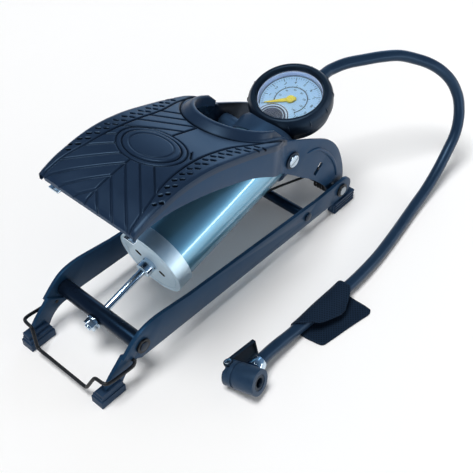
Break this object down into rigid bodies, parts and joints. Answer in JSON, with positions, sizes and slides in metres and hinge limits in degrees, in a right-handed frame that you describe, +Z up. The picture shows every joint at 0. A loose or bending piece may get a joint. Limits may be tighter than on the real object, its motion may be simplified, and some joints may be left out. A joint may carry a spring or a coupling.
{
  "type": "foot tyre pump",
  "caption": "Foot tyre pump: pedal on a folding frame works a slanted cylinder with a pressure gauge, hose and thumb-lock chuck.",
  "frame": {"origin": "on the floor, midway between the front and rear feet and between the side rails, with the pump set down on its four feet and its pedal up", "axes": "+X towards the pedal's hinge end, +Y to the pump's left, +Z up from the floor"},
  "size_m": [0.4233, 0.1861, 0.1588],
  "materials": {
    "painted_steel_black": "gloss black paint on sheet steel",
    "painted_steel_blue": "satin dark blue-grey paint",
    "barrel_paint": "gloss blue-grey paint",
    "zinc_steel": "bright zinc plate",
    "steel_wire_black": "black oxide wire",
    "steel_plain": "turned steel",
    "rubber_black": "moulded rubber",
    "tread_rubber": "moulded rubber with raised ribs",
    "cast_alloy": "painted die casting",
    "plastic_black": "moulded plastic",
    "nylon": "natural nylon",
    "dial_print": "printed dial card",
    "yellow_pointer": "painted pointer",
    "brass": "turned brass",
    "lens": "clear plastic window",
    "webbing": "woven nylon webbing"
  },
  "bodies": {
    "frame": {"rail_left": "painted_steel_black", "rail_right": "painted_steel_black", "rear_cross_bar": "painted_steel_black", "pivot_shaft": "steel_plain", "pivot_spacer": "painted_steel_black", "pivot_clips": "steel_wire_black", "foot_front_left": "rubber_black", "foot_front_right": "rubber_black", "foot_rear_left": "rubber_black", "foot_rear_right": "rubber_black", "return_spring": "steel_wire_black", "hose": "rubber_black", "hose_ferrule": "zinc_steel", "hose_strap": "webbing", "chuck_body": "plastic_black", "chuck_seal": "rubber_black", "chuck_cap": "plastic_black", "lever_pin": "zinc_steel"},
    "pedal": {"pedal_shell": "painted_steel_blue", "tread_pad": "tread_rubber", "barrel_studs": "zinc_steel", "stud_rings": "steel_wire_black", "lock_hooks": "zinc_steel"},
    "rod": {"front_tube": "painted_steel_black", "tube_clips": "steel_wire_black", "piston_rod": "zinc_steel", "rod_nut": "zinc_steel", "rod_washer": "zinc_steel", "piston": "nylon", "piston_cup": "rubber_black"},
    "barrel": {"barrel_tube": "barrel_paint", "front_cap": "zinc_steel", "rod_guide": "zinc_steel", "cylinder_head": "cast_alloy", "head_seal": "rubber_black", "gauge_case": "plastic_black", "gauge_boot": "rubber_black", "gauge_dial": "dial_print", "gauge_movement": "brass", "gauge_lens": "lens", "hose_nipple": "brass"},
    "needle": {"gauge_needle": "yellow_pointer"},
    "check_ball": {"valve_ball": "zinc_steel"},
    "lock_bail": {"lock_wire": "steel_wire_black"},
    "thumb_lever": {"chuck_lever": "plastic_black", "lever_cam": "zinc_steel"}
  },
  "joints": [
    {"name": "pedal_hinge", "type": "hinge", "parent": "frame", "child": "pedal", "pos_m": [0.133, 0, 0.022], "axis": [0, -1, 0], "range_deg": [0, 19], "stiffness_Nm_per_rad": 6, "springref_deg": -28.65, "deforming": ["return_spring"]},
    {"name": "rod_swing", "type": "hinge", "parent": "frame", "child": "rod", "pos_m": [-0.11, 0, 0.033], "axis": [0, 1, 0], "range_deg": [0, 6.49]},
    {"name": "pump_stroke", "type": "slide", "parent": "rod", "child": "barrel", "axis": [-0.969, 0, -0.247], "range_m": [0, 0.02661]},
    {"name": "needle_turn", "type": "hinge", "parent": "barrel", "child": "needle", "pos_m": [0.11203, 0, 0.10931], "axis": [0.247, 0, -0.969], "range_deg": [0, 270], "stiffness_Nm_per_rad": 0.0002, "springref_deg": -11.46},
    {"name": "check_ball_lift", "type": "slide", "parent": "barrel", "child": "check_ball", "axis": [0.969, 0, 0.247], "range_m": [0, 0.0012], "stiffness_N_per_m": 20, "springref_m": -0.002},
    {"name": "lock_swing", "type": "hinge", "parent": "frame", "child": "lock_bail", "pos_m": [-0.1205, 0, 0.026], "axis": [0, 1, 0], "range_deg": [0, 74]},
    {"name": "thumb_lever_turn", "type": "hinge", "parent": "frame", "child": "thumb_lever", "pos_m": [-0.07168, -0.09691, 0.01016], "axis": [-0.0352, 0.2222, 0.9744], "range_deg": [-2, 42]}
  ],
  "couplings": [
    {"joint": "rod_swing", "follows": "pedal_hinge", "ratio": 0.33873},
    {"joint": "pump_stroke", "follows": "pedal_hinge", "m_per_rad": 0.080095}
  ]
}
